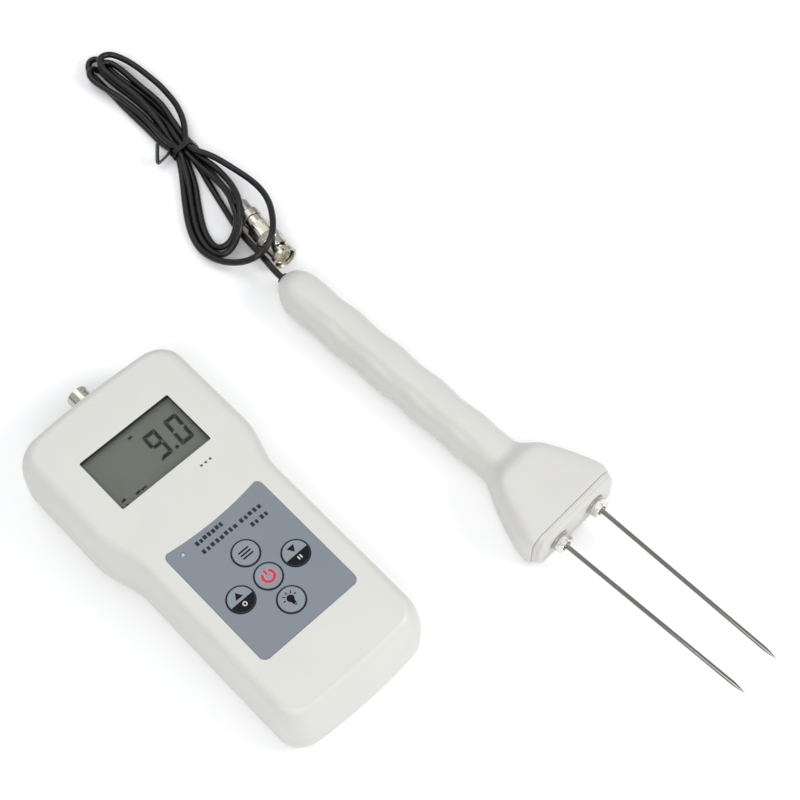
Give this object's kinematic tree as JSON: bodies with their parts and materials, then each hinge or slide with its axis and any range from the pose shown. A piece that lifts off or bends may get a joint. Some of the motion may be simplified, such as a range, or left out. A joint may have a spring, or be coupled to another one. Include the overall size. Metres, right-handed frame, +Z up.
{
  "type": "moisture meter",
  "caption": "Hand-held moisture meter with LCD and five-key pad, and a two-needle probe on a hanked coaxial lead with a bayonet plug.",
  "frame": {"origin": "centre of the meter's flat back, on the surface that the set lies on", "axes": "+Y along the meter towards its jack, +X towards its right-hand keys and the probe, +Z up out of the face"},
  "size_m": [0.1691, 0.4, 0.0337],
  "materials": {
    "case_white": "fine moulded texture, off-white ABS",
    "lens": "clear acrylic window pane",
    "lcd": "grey-green reflective LCD",
    "holder_white": "moulded ABS holder",
    "backlight": "diffuser",
    "rubber_dark": "conductive elastomer",
    "overlay": "printed polyester overlay, blue-grey",
    "key_grey": "printed key cap, grey",
    "key_dark": "printed key cap, two-tone",
    "black_plastic": "moulded black",
    "board": "green solder mask",
    "components": "moulded parts",
    "led_red": "tinted LED lens",
    "nickel": "bright nickel plate",
    "steel": "zinc-plated steel",
    "needle_steel": "polished stainless",
    "ptfe": "PTFE insulator",
    "gold_brass": "gold-flashed contact",
    "battery_jacket": "plain battery jacket",
    "wire_red": "PVC sheath",
    "wire_black": "PVC sheath",
    "cord_black": "satin PVC coax jacket",
    "tie_black": "plastic-covered wire tie"
  },
  "bodies": {
    "meter": {"front_shell": "case_white", "back_shell": "case_white", "case_screws": "steel", "lcd_window": "lens", "lcd_panel": "lcd", "lcd_frame": "holder_white", "backlight_panel": "backlight", "zebra_strips": "rubber_dark", "keypad_overlay": "overlay", "tact_switches": "black_plastic", "main_board": "board", "board_screws": "steel", "main_chip": "black_plastic", "board_parts": "components", "buzzer": "black_plastic", "indicator_led": "led_red", "jack_shell": "nickel", "jack_insulator": "ptfe", "jack_contact": "gold_brass", "jack_washer": "steel", "jack_nut": "nickel", "jack_lead": "wire_black", "battery": "battery_jacket", "battery_snap": "black_plastic", "battery_lead_red": "wire_red", "battery_lead_black": "wire_black"},
    "key_power": {"key_power": "key_grey"},
    "key_fun": {"key_fun": "key_grey"},
    "key_light": {"key_light": "key_grey"},
    "key_zero": {"key_zero": "key_dark"},
    "key_hold": {"key_hold": "key_dark"},
    "battery_door": {"battery_door": "case_white"},
    "probe": {"probe_upper_shell": "case_white", "probe_lower_shell": "case_white", "probe_front_cap": "case_white", "probe_screws": "steel", "needle_left": "needle_steel", "needle_right": "needle_steel", "needle_nuts": "nickel", "needle_washers": "steel", "needle_bushes": "ptfe", "solder_tags": "gold_brass", "probe_wires": "wire_red", "cable_gland": "rubber_dark", "cable_clamp": "holder_white", "plug_body": "nickel", "plug_washer": "steel", "plug_insulator": "ptfe", "plug_pin": "gold_brass", "plug_ferrule": "nickel", "cord_lead": "cord_black", "cord_tail": "cord_black", "cord_loop": "cord_black", "cord_hank": "cord_black", "cord_tie": "tie_black"},
    "plug_sleeve": {"plug_sleeve": "nickel"}
  },
  "joints": [
    {"name": "key_power_press", "type": "slide", "parent": "meter", "child": "key_power", "axis": [0, 0, -1], "range_m": [0, 0.0004], "stiffness_N_per_m": 1500},
    {"name": "key_fun_press", "type": "slide", "parent": "meter", "child": "key_fun", "axis": [0, 0, -1], "range_m": [0, 0.0004], "stiffness_N_per_m": 1500},
    {"name": "key_light_press", "type": "slide", "parent": "meter", "child": "key_light", "axis": [0, 0, -1], "range_m": [0, 0.0004], "stiffness_N_per_m": 1500},
    {"name": "key_zero_press", "type": "slide", "parent": "meter", "child": "key_zero", "axis": [0, 0, -1], "range_m": [0, 0.0004], "stiffness_N_per_m": 1500},
    {"name": "key_hold_press", "type": "slide", "parent": "meter", "child": "key_hold", "axis": [0, 0, -1], "range_m": [0, 0.0004], "stiffness_N_per_m": 1500},
    {"name": "battery_door_slide", "type": "slide", "parent": "meter", "child": "battery_door", "axis": [0, -1, 0], "range_m": [0, 0.06]},
    {"name": "probe_lift", "type": "slide", "parent": "meter", "child": "probe", "axis": [0, 0, 1], "range_m": [0, 0.2]},
    {"name": "plug_sleeve_turn", "type": "hinge", "parent": "probe", "child": "plug_sleeve", "pos_m": [0.1069, 0.0854, 0.0059], "axis": [0.1219, 0.9925, 0], "continuous": true}
  ]
}
